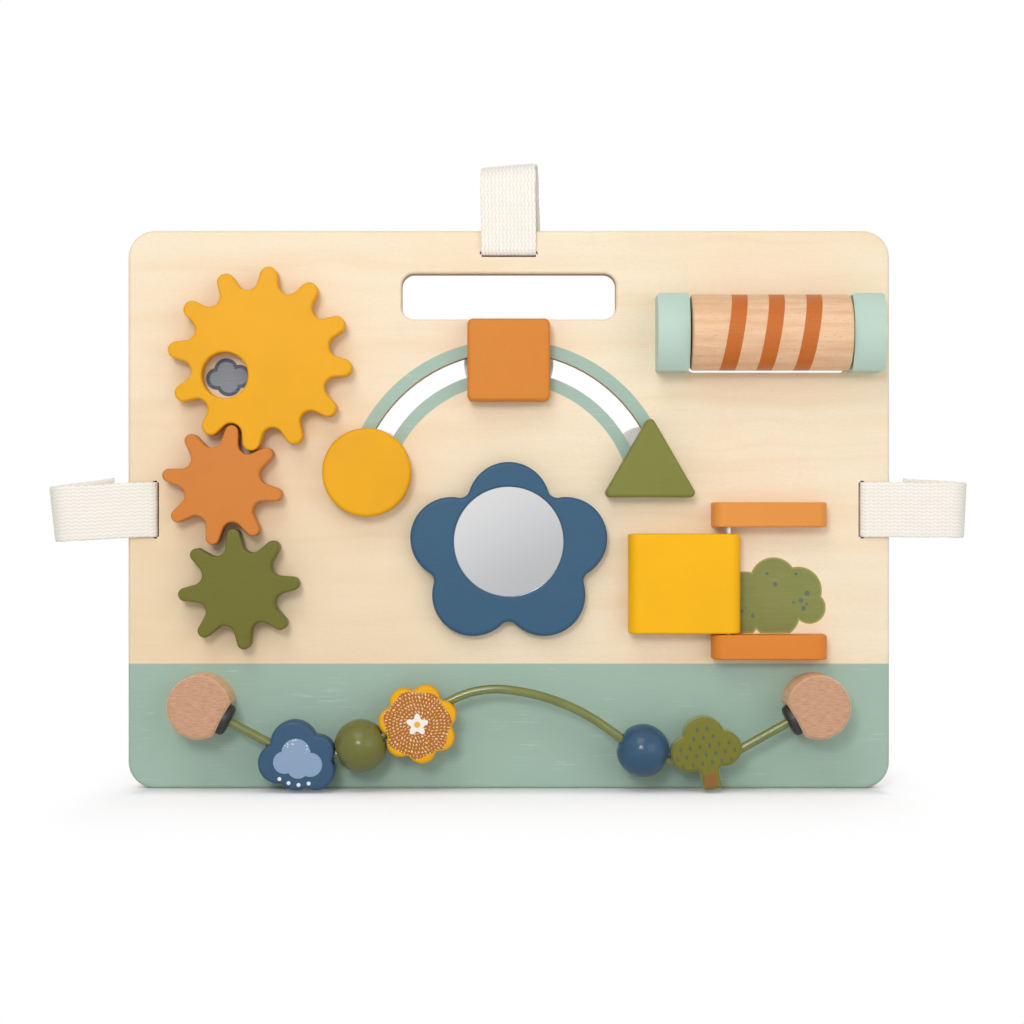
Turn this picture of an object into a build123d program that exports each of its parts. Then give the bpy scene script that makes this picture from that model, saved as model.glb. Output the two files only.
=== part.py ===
from build123d import *
import math
import os

# Millimetres. X runs to the right along the board, Z up, and the front looks toward -Y.
# The origin is the middle of the board's bottom edge, halfway through its thickness.

# Board
board_width = 400
board_height = 293
board_thickness = 12
board_corner_radius = 14
board_edge_round = 1.8
hand_slot_z = 258.5
hand_slot_width = 112.5
hand_slot_height = 24
hand_slot_corner = 6.5
hand_slot_edge_round = 1.5

# Screws, all driven from behind into pilot holes of their own size
screw_shank_diameter = 3
screw_head_diameter = 8
screw_head_height = 2.6
screw_head_round = 1.1
screw_recess_length = 4.4
screw_recess_width = 1
screw_recess_depth = 1.4

# Gear train
large_gear_x = -129.3
large_gear_z = 224.9
large_gear_teeth = 12
large_gear_tip_radius = 48
large_gear_root_radius = 36.3
large_gear_tip_round = 4.6
large_gear_valley_round = 5.6
large_gear_first_tooth = 84
small_gear_teeth = 8
small_gear_tip_radius = 31.5
small_gear_root_radius = 20
small_gear_tip_round = 3.5
small_gear_valley_round = 5.2
large_to_middle = 68.5
middle_to_lower = 54.8
middle_gear_direction = 253.3
lower_gear_direction = -81
gear_thickness = 12
gear_gap = 2
gear_edge_round = 1.2
peek_hole_diameter = 24
peek_hole_offset = 20.1
peek_hole_direction = 205.2
gear_axle_diameter = 12
gear_axle_seat = 8
gear_axle_play = 0.25
gear_axle_proud = 0.4
washer_diameter = 22
washer_thickness = 2
gear_screw_grip = 4

# Sliders
slot_arc_z = 148.4
slot_arc_radius = 76
slot_end_angle = 13.3
slot_width = 10.2
slider_neck_play = 0.35
circle_knob_angle = 166.7
square_knob_angle = 90
triangle_knob_angle = 14.4
circle_knob_diameter = 46.2
square_knob_side = 43
square_knob_corner = 3
triangle_knob_side = 50
triangle_knob_corner = 2.5
knob_thickness = 13
knob_gap = 0.8
knob_edge_round = 2
neck_seat = 7
slider_disc_diameter = 47.5
slider_disc_thickness = 5
slider_disc_gap = 0.5
slider_disc_edge_round = 1
slider_disc_recess = 2
slider_screw_grip = 3

# Roller
roller_x = 135.6
roller_z = 238.4
roller_height = 13
roller_diameter = 39.5
roller_length = 82.4
roller_edge_round = 1.5
roller_axle_diameter = 4
roller_axle_play = 0.25
roller_side_play = 1
roller_axle_seat = 8
roller_block_width = 16.5
roller_block_height = 40.4
roller_block_depth = 27
roller_block_dome = 9
roller_block_edge_round = 1.5
roller_screw_spread = 26
roller_screw_grip = 10
window_margin_x = 1.1
window_margin_z = 0.2
window_corner_radius = 4

# Door
hinge_x = 114.7
hinge_height = 8
hinge_pin_diameter = 3
hinge_pin_play = 0.25
hinge_pin_seat = 8
door_width = 58.5
door_height = 52
door_thickness = 13
door_bottom_z = 81.9
door_corner_round = 6
door_edge_round = 1.2
door_knuckle = 6
door_bar_length = 59.7
door_bar_height = 13
door_bar_depth = 14.5
door_bar_corner_round = 6
door_bar_edge_round = 1.2
door_bar_end = 8.6
door_gap_below = 0.5
door_gap_above = 3.4
door_bar_screw_inset = 14
door_bar_screw_grip = 9

# Mirror
mirror_z = 129.7
mirror_window_diameter = 57.5
mirror_ledge = 1.4
mirror_thickness = 3
mirror_play = 0.25
mirror_frame_z = 123.4
mirror_frame_reach_x = 31.5
mirror_frame_reach_z = 26.5
mirror_frame_lobes = 5
mirror_lobe_radius = 21.5
mirror_notch_round = 5
mirror_frame_thickness = 9
mirror_frame_edge_round = 2
mirror_window_edge_round = 1
mirror_screw_spots = [(0, 165.5), (-20, 92.5), (20, 92.5)]
mirror_screw_grip = 6

# Bead run: the wire's corners are given as (x, z, bend radius)
post_x = 159.5
post_z = 44.7
post_radius = 16.4
post_flat = 13.3
post_height = 27
post_edge_round = 1.8
post_screw_grip = 9
wire_diameter = 4.7
wire_height = 17.5
wire_seat = 11
wire_bends = [(-98.4, 12.2, 55), (-15.4, 55.4, 50), (28.7, 49.2, 105), (89.8, 5.8, 55)]
grommet_diameter = 17
grommet_depth = 3.9
grommet_rim = 1.2

# Beads: each is placed by how far along the wire, from its left end, its middle hangs
bead_thickness = 12
bead_edge_round = 2
bead_clearance = 0.35
cloud_bead_run = 54.6
cloud_bead_half_length = 20
cloud_bead_drop = 2.6
cloud_bead_lobes = [(-9.5, -5.5, 10.5), (0.5, -6.8, 11), (10, -6, 10), (9.5, 4, 8.5), (-3.5, 5.8, 12)]
cloud_bead_notch_round = 1.5
ball_diameter = 27.4
ball_length = 24.6
ball_edge_round = 1.5
green_ball_run = 87.2
flower_bead_run = 119.2
flower_bead_half_length = 20
flower_bead_drop = 2.8
flower_bead_travel = 15
flower_petals = 7
flower_petal_radius = 7.3
flower_petal_ring = 13.3
flower_first_petal = 148
flower_notch_round = 2
blue_ball_run = 247.6
tree_bead_half_length = 20
tree_bead_play = 2.2
tree_bead_run = blue_ball_run + ball_length / 2 + tree_bead_half_length + tree_bead_play
tree_bead_rise = 2.2
tree_bead_lobes = [(-9.3, 1.5, 9.2), (9.3, 1.5, 9.2), (0, 8.5, 11)]
tree_bead_notch_round = 2
tree_trunk_width = 10
tree_trunk_foot = 18.5

# Straps: the profile is drawn outward from its slot and forward from the board's middle
strap_width = 28
strap_thickness = 2
strap_gap = 0.3
strap_slot_length = 30.5
strap_slot_width = 3.5
strap_bend = 1.8
top_strap_slot_z = board_height - 12
side_strap_slot_x = board_width / 2 - 14.5
side_strap_slot_z = 146.5
top_strap_reach = 46.5
side_strap_reach = 54.5
strap_end_gap = 2
strap_overlap = 19
patch_width = 24
patch_thickness = 0.8
patch_margin = 1

# Places that follow from the sizes above
front_face = Plane.XZ.offset(board_thickness / 2)
back_face = Plane.XZ.offset(-board_thickness / 2)
gear_bore_diameter = gear_axle_diameter + 2 * gear_axle_play
gear_screw_seat = gear_axle_proud + washer_thickness
slot_centre = (0, slot_arc_z)
slider_neck_diameter = slot_width - 2 * slider_neck_play
slider_screw_seat = slider_disc_gap + slider_disc_thickness
roller_axis_y = -board_thickness / 2 - roller_height
roller_block_offset = roller_length / 2 + roller_side_play + roller_block_width / 2
roller_screw_spots = [
    (roller_x + side * roller_block_offset, roller_z + rise * roller_screw_spread / 2)
    for side in (-1, 1)
    for rise in (-1, 1)
]
hinge_y = -board_thickness / 2 - hinge_height
upper_bar_bottom_z = door_bottom_z + door_height + door_gap_above
lower_bar_bottom_z = door_bottom_z - door_gap_below - door_bar_height
door_bar_x = hinge_x - door_bar_end + door_bar_length / 2
door_bar_screw_spots = [
    (door_bar_x + side * (door_bar_length / 2 - door_bar_screw_inset), z + door_bar_height / 2)
    for side in (-1, 1)
    for z in (upper_bar_bottom_z, lower_bar_bottom_z)
]
post_spots = [(-post_x, post_z), (post_x, post_z)]


def along(spot, distance, direction):
    angle = math.radians(direction)
    return (spot[0] + distance * math.cos(angle), spot[1] + distance * math.sin(angle))


def heading(spot, target):
    return math.degrees(math.atan2(target[1] - spot[1], target[0] - spot[0]))


large_gear_spot = (large_gear_x, large_gear_z)
middle_gear_spot = along(large_gear_spot, large_to_middle, middle_gear_direction)
lower_gear_spot = along(middle_gear_spot, middle_to_lower, lower_gear_direction)
gear_spots = [large_gear_spot, middle_gear_spot, lower_gear_spot]


def meshed_tooth(first_tooth, teeth, direction, next_teeth):
    # The next gear's tooth angle, for a tooth in the valley nearest the line of centres.
    pitch = 360 / teeth
    valley = first_tooth + pitch / 2
    lag = valley - direction + round((direction - valley) / pitch) * pitch
    return direction + 180 - lag * teeth / next_teeth


middle_gear_first_tooth = meshed_tooth(
    large_gear_first_tooth, large_gear_teeth, middle_gear_direction, small_gear_teeth
)
lower_gear_first_tooth = meshed_tooth(
    middle_gear_first_tooth, small_gear_teeth, lower_gear_direction, small_gear_teeth
)


def plane_at(spot, height, turn=0):
    # A sketch plane over a point of the board, height in front of its front face.
    angle = math.radians(turn)
    return Plane(
        origin=(spot[0], -board_thickness / 2 - height, spot[1]),
        x_dir=(math.cos(angle), 0, math.sin(angle)),
        z_dir=(0, -1, 0),
    )


def finish(piece, name):
    piece.part.label = name
    export_step(piece.part, f"parts/{name}.step")


def drive_screws(spots, seat_depth, grip):
    # Pan heads seat_depth behind the board's back, tips grip in front of its front face.
    seat = back_face.offset(-seat_depth)
    with BuildSketch(seat) as shanks:
        with Locations(*spots):
            Circle(screw_shank_diameter / 2)
    extrude(shanks.sketch, amount=seat_depth + board_thickness + grip)
    with BuildSketch(seat) as heads:
        with Locations(*spots):
            Circle(screw_head_diameter / 2)
    extrude(heads.sketch, amount=-screw_head_height)
    fillet(edges().group_by(Axis.Y)[-1], screw_head_round)
    with BuildSketch(seat.offset(-screw_head_height)) as recesses:
        with Locations(*spots):
            Rectangle(screw_recess_length, screw_recess_width)
            Rectangle(screw_recess_width, screw_recess_length)
    extrude(recesses.sketch, amount=screw_recess_depth, mode=Mode.SUBTRACT)


def pilot_holes(spots, entry_height, grip):
    with BuildSketch(front_face.offset(entry_height)) as holes:
        with Locations(*spots):
            Circle(screw_shank_diameter / 2)
    extrude(holes.sketch, amount=grip - entry_height, mode=Mode.SUBTRACT)


# Board
with BuildPart() as board_panel:
    with BuildSketch(back_face):
        with Locations((0, board_height / 2)):
            RectangleRounded(board_width, board_height, board_corner_radius)
    extrude(amount=board_thickness)
    fillet(board_panel.edges().filter_by(Plane.XZ), board_edge_round)
    with BuildSketch(back_face):
        with Locations((0, hand_slot_z)):
            RectangleRounded(hand_slot_width, hand_slot_height, hand_slot_corner)
    extrude(amount=board_thickness, mode=Mode.SUBTRACT)
    fillet(board_panel.edges(Select.LAST).filter_by(Plane.XZ), hand_slot_edge_round)
    with BuildSketch(Plane.XZ):
        with Locations((roller_x, roller_z)):
            RectangleRounded(
                roller_length + 2 * window_margin_x,
                roller_diameter + 2 * window_margin_z,
                window_corner_radius,
            )
        with BuildLine():
            sweep_angle = 180 - 2 * slot_end_angle
            outer = CenterArc(slot_centre, slot_arc_radius + slot_width / 2, slot_end_angle, sweep_angle)
            inner = CenterArc(slot_centre, slot_arc_radius - slot_width / 2, slot_end_angle, sweep_angle)
            right_end = along(slot_centre, slot_arc_radius, slot_end_angle)
            left_end = along(slot_centre, slot_arc_radius, 180 - slot_end_angle)
            ThreePointArc(outer @ 0, along(right_end, slot_width / 2, slot_end_angle - 90), inner @ 0)
            ThreePointArc(outer @ 1, along(left_end, slot_width / 2, 270 - slot_end_angle), inner @ 1)
        make_face()
        with Locations((0, top_strap_slot_z)):
            SlotOverall(strap_slot_length, strap_slot_width)
        with Locations((-side_strap_slot_x, side_strap_slot_z), (side_strap_slot_x, side_strap_slot_z)):
            SlotOverall(strap_slot_length, strap_slot_width, rotation=90)
        with Locations(*gear_spots):
            Circle(gear_bore_diameter / 2)
        with Locations(*roller_screw_spots, *door_bar_screw_spots, *mirror_screw_spots, *post_spots):
            Circle(screw_shank_diameter / 2)
    extrude(amount=board_thickness, both=True, mode=Mode.SUBTRACT)


# Gears, each glued to a dowel that runs in the board's bore
def gear_outline(teeth, tip_radius, root_radius, tip_round, valley_round, first_tooth):
    # Each tooth's tip arc and the valley arc beside it share a cross tangent, which is the flank.
    half_pitch = 180 / teeth
    tip = Vector(tip_radius - tip_round, 0)
    valley = Vector(root_radius + valley_round, 0).rotate(Axis.Z, half_pitch)
    span = valley - tip
    lean = math.degrees(math.acos((tip_round + valley_round) / span.length))
    normal = Vector(1, 0).rotate(Axis.Z, math.degrees(math.atan2(span.Y, span.X)) - lean)
    flank_top = tip + normal * tip_round
    flank_foot = valley - normal * valley_round
    lower_top = Vector(flank_top.X, -flank_top.Y)
    lower_foot = Vector(flank_foot.X, -flank_foot.Y)
    crest = Vector(tip_radius, 0)
    bottom = Vector(root_radius, 0).rotate(Axis.Z, half_pitch)
    next_foot = lower_foot.rotate(Axis.Z, 2 * half_pitch)
    for tooth in range(teeth):
        turn = first_tooth + tooth * 2 * half_pitch
        Line(lower_foot.rotate(Axis.Z, turn), lower_top.rotate(Axis.Z, turn))
        ThreePointArc(*[point.rotate(Axis.Z, turn) for point in (lower_top, crest, flank_top)])
        Line(flank_top.rotate(Axis.Z, turn), flank_foot.rotate(Axis.Z, turn))
        ThreePointArc(*[point.rotate(Axis.Z, turn) for point in (flank_foot, bottom, next_foot)])


def small_gear_outline(first_tooth):
    gear_outline(
        small_gear_teeth,
        small_gear_tip_radius,
        small_gear_root_radius,
        small_gear_tip_round,
        small_gear_valley_round,
        first_tooth,
    )


def thicken_gear(spot):
    extrude(amount=gear_thickness)
    fillet(edges().filter_by(Plane.XZ), gear_edge_round)
    with BuildSketch(plane_at(spot, gear_gap)) as axle_bore:
        Circle(gear_axle_diameter / 2)
    extrude(axle_bore.sketch, amount=gear_axle_seat, mode=Mode.SUBTRACT)


with BuildPart() as large_gear:
    with BuildSketch(plane_at(large_gear_spot, gear_gap)):
        with BuildLine():
            gear_outline(
                large_gear_teeth,
                large_gear_tip_radius,
                large_gear_root_radius,
                large_gear_tip_round,
                large_gear_valley_round,
                large_gear_first_tooth,
            )
        make_face()
        with Locations(along((0, 0), peek_hole_offset, peek_hole_direction)):
            Circle(peek_hole_diameter / 2, mode=Mode.SUBTRACT)
    thicken_gear(large_gear_spot)

with BuildPart() as middle_gear:
    with BuildSketch(plane_at(middle_gear_spot, gear_gap)):
        with BuildLine():
            small_gear_outline(middle_gear_first_tooth)
        make_face()
    thicken_gear(middle_gear_spot)

with BuildPart() as lower_gear:
    with BuildSketch(plane_at(lower_gear_spot, gear_gap)):
        with BuildLine():
            small_gear_outline(lower_gear_first_tooth)
        make_face()
    thicken_gear(lower_gear_spot)


def make_gear_axle(spot):
    rear = -board_thickness - gear_axle_proud
    with BuildPart() as axle:
        with BuildSketch(plane_at(spot, rear)):
            Circle(gear_axle_diameter / 2)
        extrude(amount=gear_gap + gear_axle_seat - rear)
        pilot_holes([spot], rear, gear_screw_grip)
    return axle


def make_washer(spot):
    with BuildPart() as washer:
        with BuildSketch(plane_at(spot, -board_thickness - gear_axle_proud)):
            Circle(washer_diameter / 2)
            Circle(screw_shank_diameter / 2, mode=Mode.SUBTRACT)
        extrude(amount=-washer_thickness)
    return washer


def make_screw(spot, seat_depth, grip):
    with BuildPart() as screw:
        drive_screws([spot], seat_depth, grip)
    return screw


# Sliders: a knob in front, a neck through the arched slot and a retaining disc behind
def shape_knob(spot):
    # Thickens the sketched outline, rounds it and bores it for its neck.
    extrude(amount=knob_thickness)
    fillet(edges().filter_by(Plane.XZ), knob_edge_round)
    with BuildSketch(plane_at(spot, knob_gap)) as neck_bore:
        Circle(slider_neck_diameter / 2)
    extrude(neck_bore.sketch, amount=neck_seat, mode=Mode.SUBTRACT)


circle_knob_spot = along(slot_centre, slot_arc_radius, circle_knob_angle)
square_knob_spot = along(slot_centre, slot_arc_radius, square_knob_angle)
triangle_knob_spot = along(slot_centre, slot_arc_radius, triangle_knob_angle)

with BuildPart() as circle_knob:
    with BuildSketch(plane_at(circle_knob_spot, knob_gap)):
        Circle(circle_knob_diameter / 2)
    shape_knob(circle_knob_spot)

with BuildPart() as square_knob:
    with BuildSketch(plane_at(square_knob_spot, knob_gap)):
        RectangleRounded(square_knob_side, square_knob_side, square_knob_corner)
    shape_knob(square_knob_spot)

with BuildPart() as triangle_knob:
    with BuildSketch(plane_at(triangle_knob_spot, knob_gap)) as triangle_outline:
        RegularPolygon(triangle_knob_side / math.sqrt(3), 3, rotation=90, align=None)
        fillet(triangle_outline.vertices(), triangle_knob_corner)
    shape_knob(triangle_knob_spot)


def make_neck(spot):
    rear = -board_thickness - slider_disc_gap - slider_disc_recess
    with BuildPart() as neck:
        with BuildSketch(plane_at(spot, rear)):
            Circle(slider_neck_diameter / 2)
        extrude(amount=knob_gap + neck_seat - rear)
        pilot_holes([spot], rear, slider_screw_grip)
    return neck


def make_slider_disc(spot):
    front = plane_at(spot, -board_thickness - slider_disc_gap)
    with BuildPart() as disc:
        with BuildSketch(front):
            Circle(slider_disc_diameter / 2)
            Circle(screw_shank_diameter / 2, mode=Mode.SUBTRACT)
        extrude(amount=-slider_disc_thickness)
        fillet(disc.edges().sort_by(SortBy.LENGTH)[-2:], slider_disc_edge_round)
        with BuildSketch(front):
            Circle(slider_neck_diameter / 2)
        extrude(amount=-slider_disc_recess, mode=Mode.SUBTRACT)
    return disc


# Roller
with BuildPart() as roller:
    with BuildSketch(Plane.YZ.offset(roller_x)):
        with Locations((roller_axis_y, roller_z)):
            Circle(roller_diameter / 2)
    extrude(amount=roller_length / 2, both=True)
    fillet(roller.edges().filter_by(GeomType.CIRCLE), roller_edge_round)
    with BuildSketch(Plane.YZ.offset(roller_x)):
        with Locations((roller_axis_y, roller_z)):
            Circle(roller_axle_diameter / 2 + roller_axle_play)
    extrude(amount=roller_length / 2, both=True, mode=Mode.SUBTRACT)

roller_axle_half_length = roller_length / 2 + roller_side_play + roller_axle_seat

with BuildPart() as roller_axle:
    with BuildSketch(Plane.YZ.offset(roller_x)):
        with Locations((roller_axis_y, roller_z)):
            Circle(roller_axle_diameter / 2)
    extrude(amount=roller_axle_half_length, both=True)


def make_roller_block(side):
    base = -board_thickness / 2
    shoulder = base - roller_block_depth + roller_block_dome
    low = roller_z - roller_block_height / 2
    high = roller_z + roller_block_height / 2
    block_x = roller_x + side * roller_block_offset
    with BuildPart() as block:
        with BuildSketch(Plane.YZ.offset(block_x)):
            with BuildLine():
                Polyline((shoulder, low), (base, low), (base, high), (shoulder, high))
                ThreePointArc((shoulder, high), (base - roller_block_depth, roller_z), (shoulder, low))
            make_face()
        extrude(amount=roller_block_width / 2, both=True)
        exposed = block.edges().filter_by_position(Axis.Y, base - roller_block_depth, base - 1)
        fillet(exposed, roller_block_edge_round)
        with BuildSketch(Plane.YZ.offset(roller_x)):
            with Locations((roller_axis_y, roller_z)):
                Circle(roller_axle_diameter / 2)
        extrude(amount=side * roller_axle_half_length, mode=Mode.SUBTRACT)
        pilot_holes([spot for spot in roller_screw_spots if abs(spot[0] - block_x) < 1], 0, roller_screw_grip)
    return block


with BuildPart() as roller_block_screws:
    drive_screws(roller_screw_spots, 0, roller_screw_grip)


# Door
with BuildPart() as door:
    with BuildSketch(Plane.XY.offset(door_bottom_z)):
        with Locations((hinge_x + door_knuckle - door_width / 2, hinge_y)):
            RectangleRounded(door_width, door_thickness, door_corner_round)
    extrude(amount=door_height)
    fillet(door.edges().filter_by(Plane.XY), door_edge_round)
    with BuildSketch(Plane.XY.offset(door_bottom_z)):
        with Locations((hinge_x, hinge_y)):
            Circle(hinge_pin_diameter / 2 + hinge_pin_play)
    extrude(amount=door_height, mode=Mode.SUBTRACT)


def make_door_bar(bottom_z, pin_plane, pin_depth):
    base = -board_thickness / 2
    with BuildPart() as bar:
        with BuildSketch(Plane.XY.offset(bottom_z)) as bar_outline:
            with Locations((door_bar_x, base - door_bar_depth / 2)):
                Rectangle(door_bar_length, door_bar_depth)
            fillet(bar_outline.vertices().group_by(Axis.Y)[0], door_bar_corner_round)
        extrude(amount=door_bar_height)
        exposed = bar.edges().filter_by(Plane.XY).filter_by_position(Axis.Y, base - door_bar_depth, base - 1)
        fillet(exposed, door_bar_edge_round)
        with BuildSketch(pin_plane):
            with Locations((hinge_x, hinge_y)):
                Circle(hinge_pin_diameter / 2)
        extrude(amount=pin_depth, mode=Mode.SUBTRACT)
        middle_z = bottom_z + door_bar_height / 2
        pilot_holes(
            [spot for spot in door_bar_screw_spots if abs(spot[1] - middle_z) < 1], 0, door_bar_screw_grip
        )
    return bar


upper_seat = Plane.XY.offset(upper_bar_bottom_z)
lower_seat = Plane.XY.offset(lower_bar_bottom_z + door_bar_height)

with BuildPart() as hinge_pin:
    with BuildSketch(lower_seat.offset(-hinge_pin_seat)):
        with Locations((hinge_x, hinge_y)):
            Circle(hinge_pin_diameter / 2)
    extrude(amount=door_gap_below + door_height + door_gap_above + 2 * hinge_pin_seat)

with BuildPart() as door_bar_screws:
    drive_screws(door_bar_screw_spots, 0, door_bar_screw_grip)


# Mirror
with BuildPart() as mirror_frame:
    with BuildSketch(front_face) as frame_outline:
        for lobe in range(mirror_frame_lobes):
            lobe_angle = math.radians(90 + lobe * 360 / mirror_frame_lobes)
            lobe_x = mirror_frame_reach_x * math.cos(lobe_angle)
            lobe_z = mirror_frame_z + mirror_frame_reach_z * math.sin(lobe_angle)
            with Locations((lobe_x, lobe_z)):
                Circle(mirror_lobe_radius)
        with Locations((0, mirror_frame_z)):
            Circle(mirror_frame_reach_z)
        fillet(frame_outline.vertices(), mirror_notch_round)
    extrude(amount=mirror_frame_thickness)
    fillet(mirror_frame.edges().group_by(Axis.Y)[0], mirror_frame_edge_round)
    with BuildSketch(front_face):
        with Locations((0, mirror_z)):
            Circle(mirror_window_diameter / 2)
    extrude(amount=mirror_frame_thickness, mode=Mode.SUBTRACT)
    fillet(mirror_frame.edges(Select.LAST).group_by(Axis.Y)[0], mirror_window_edge_round)
    with BuildSketch(front_face):
        with Locations((0, mirror_z)):
            Circle(mirror_window_diameter / 2 + mirror_ledge + mirror_play)
    extrude(amount=mirror_thickness + mirror_play, mode=Mode.SUBTRACT)
    pilot_holes(mirror_screw_spots, 0, mirror_screw_grip)

with BuildPart() as mirror_disc:
    with BuildSketch(front_face):
        with Locations((0, mirror_z)):
            Circle(mirror_window_diameter / 2 + mirror_ledge)
    extrude(amount=mirror_thickness)

with BuildPart() as mirror_frame_screws:
    drive_screws(mirror_screw_spots, 0, mirror_screw_grip)


# Bead run
wire_corners = [(x, z) for x, z, radius in wire_bends]
left_wire_heading = heading(post_spots[0], wire_corners[0])
right_wire_heading = heading(post_spots[1], wire_corners[-1])

with BuildPart() as bead_wire:
    with BuildLine(plane_at((0, 0), wire_height)) as wire_line:
        FilletPolyline(
            along(post_spots[0], post_flat - wire_seat, left_wire_heading),
            *wire_corners,
            along(post_spots[1], post_flat - wire_seat, right_wire_heading),
            radius=[radius for x, z, radius in wire_bends],
        )
    wire_path = wire_line.wires()[0]
    with BuildSketch(Plane(origin=wire_path @ 0, z_dir=wire_path % 0)):
        Circle(wire_diameter / 2)
    sweep()


def wire_mouth(spot, direction, distance):
    # The plane across the wire, distance from its post's centre.
    foot = along(spot, distance, direction)
    angle = math.radians(direction)
    return Plane(
        origin=(foot[0], -board_thickness / 2 - wire_height, foot[1]),
        x_dir=(0, -1, 0),
        z_dir=(math.cos(angle), 0, math.sin(angle)),
    )


def make_post(spot, direction):
    with BuildPart() as post:
        with BuildSketch(plane_at(spot, 0, direction)):
            Circle(post_radius)
            with Locations((post_flat + post_radius, 0)):
                Rectangle(2 * post_radius, 2 * post_radius, mode=Mode.SUBTRACT)
        extrude(amount=post_height)
        fillet(post.edges().group_by(Axis.Y)[0], post_edge_round)
        with BuildSketch(wire_mouth(spot, direction, post_flat)):
            Circle(wire_diameter / 2)
        extrude(amount=-wire_seat, mode=Mode.SUBTRACT)
        pilot_holes([spot], 0, post_screw_grip)
    return post


def make_grommet(spot, direction):
    mouth = wire_mouth(spot, direction, post_flat)
    with BuildPart() as grommet:
        with BuildSketch(mouth):
            Circle(grommet_diameter / 2)
        extrude(amount=grommet_depth)
        rim = grommet.edges().sort_by(Axis(mouth.origin, mouth.z_dir))[-1]
        fillet(rim, grommet_depth - grommet_rim)
        with BuildSketch(mouth):
            Circle(wire_diameter / 2)
        extrude(amount=grommet_depth, mode=Mode.SUBTRACT)
    return grommet


with BuildPart() as post_screws:
    drive_screws(post_spots, 0, post_screw_grip)


# Beads
def hang_bead(run, half_length):
    # The plane midway between the wire and its chord through the bead, and how far the wire bows.
    entry = wire_path.position_at(run - half_length, position_mode=PositionMode.LENGTH)
    middle = wire_path.position_at(run, position_mode=PositionMode.LENGTH)
    outlet = wire_path.position_at(run + half_length, position_mode=PositionMode.LENGTH)
    chord_middle = (entry + outlet) / 2
    plane = Plane(origin=(chord_middle + middle) / 2, x_dir=outlet - entry, z_dir=(0, -1, 0))
    return plane, (chord_middle - middle).length


def cut_passage(plane, bow, half_length, drop=0):
    # A hole along the wire, tall enough in the wire's own plane for the stretch that it bows over.
    bore = wire_diameter + 2 * bead_clearance
    with BuildSketch(Plane(origin=plane.origin, x_dir=plane.y_dir, z_dir=plane.x_dir)) as passage:
        with Locations((-drop, 0)):
            SlotCenterToCenter(bow, bore)
    extrude(passage.sketch, amount=half_length, both=True, mode=Mode.SUBTRACT)


def thicken_bead():
    extrude(amount=bead_thickness / 2, both=True)
    levels = edges().group_by(Axis.Y)
    fillet(levels[0] + levels[-1], bead_edge_round)


def make_ball(run):
    # A turned ball with flats where the wire goes in and out.
    plane, bow = hang_bead(run, ball_length / 2)
    with BuildPart() as ball:
        with BuildSketch(plane):
            Circle(ball_diameter / 2)
            Rectangle(ball_length, ball_diameter, mode=Mode.INTERSECT)
            with Locations((0, -ball_diameter / 2)):
                Rectangle(ball_diameter, ball_diameter, mode=Mode.SUBTRACT)
        revolve(axis=Axis(plane.origin, plane.x_dir))
        fillet(ball.edges().filter_by(GeomType.CIRCLE), ball_edge_round)
        with BuildSketch(Plane(origin=plane.origin, z_dir=plane.x_dir)):
            Circle((wire_diameter + bow) / 2 + bead_clearance)
        extrude(amount=ball_length, both=True, mode=Mode.SUBTRACT)
    return ball


cloud_plane, cloud_bow = hang_bead(cloud_bead_run, cloud_bead_half_length)
with BuildPart() as cloud_bead:
    with BuildSketch(cloud_plane) as cloud_outline:
        for lobe_x, lobe_y, lobe_radius in cloud_bead_lobes:
            with Locations((lobe_x, lobe_y - cloud_bead_drop)):
                Circle(lobe_radius)
        fillet(cloud_outline.vertices(), cloud_bead_notch_round)
    thicken_bead()
    cut_passage(cloud_plane, cloud_bow, 2 * cloud_bead_half_length)

wire_run_end = wire_path.edges()[2].length + sum(edge.length for edge in wire_path.edges()[:2])
flower_overhang = flower_bead_run + flower_bead_half_length + flower_bead_travel - wire_run_end
flower_bow = flower_overhang**2 / (2 * wire_bends[1][2])
flower_plane, straight_bow = hang_bead(flower_bead_run, flower_bead_half_length)
with BuildPart() as flower_bead:
    with BuildSketch(flower_plane) as flower_outline:
        with Locations((0, -flower_bead_drop)):
            Circle(flower_petal_ring)
            with PolarLocations(flower_petal_ring, flower_petals, start_angle=flower_first_petal):
                Circle(flower_petal_radius)
        fillet(flower_outline.vertices(), flower_notch_round)
    thicken_bead()
    cut_passage(flower_plane, flower_bow, 2 * flower_bead_half_length, flower_bow / 2)

tree_plane, tree_bow = hang_bead(tree_bead_run, tree_bead_half_length)
with BuildPart() as tree_bead:
    with BuildSketch(tree_plane) as tree_outline:
        for lobe_x, lobe_y, lobe_radius in tree_bead_lobes:
            with Locations((lobe_x, lobe_y + tree_bead_rise)):
                Circle(lobe_radius)
        with Locations((0, tree_bead_rise - tree_trunk_foot / 2)):
            Rectangle(tree_trunk_width, tree_trunk_foot)
        fillet(tree_outline.vertices(), tree_bead_notch_round)
    thicken_bead()
    cut_passage(tree_plane, tree_bow, 2 * tree_bead_half_length)


# Straps: through the slot, out to a fold and back behind the board onto their own end
def strap_plane(slot_x, slot_z, outward):
    return Plane(origin=(slot_x, 0, slot_z), x_dir=outward, z_dir=Vector(*outward).cross(Vector(0, -1, 0)))


strap_face = board_thickness / 2 + strap_gap + strap_thickness / 2
strap_return = strap_face + strap_thickness + 2 * patch_thickness
fold_radius = (strap_face + strap_return) / 2


def strap_end(reach):
    # Where the inner end stops, short of the fold.
    return reach - strap_thickness / 2 - fold_radius - strap_end_gap


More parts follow.
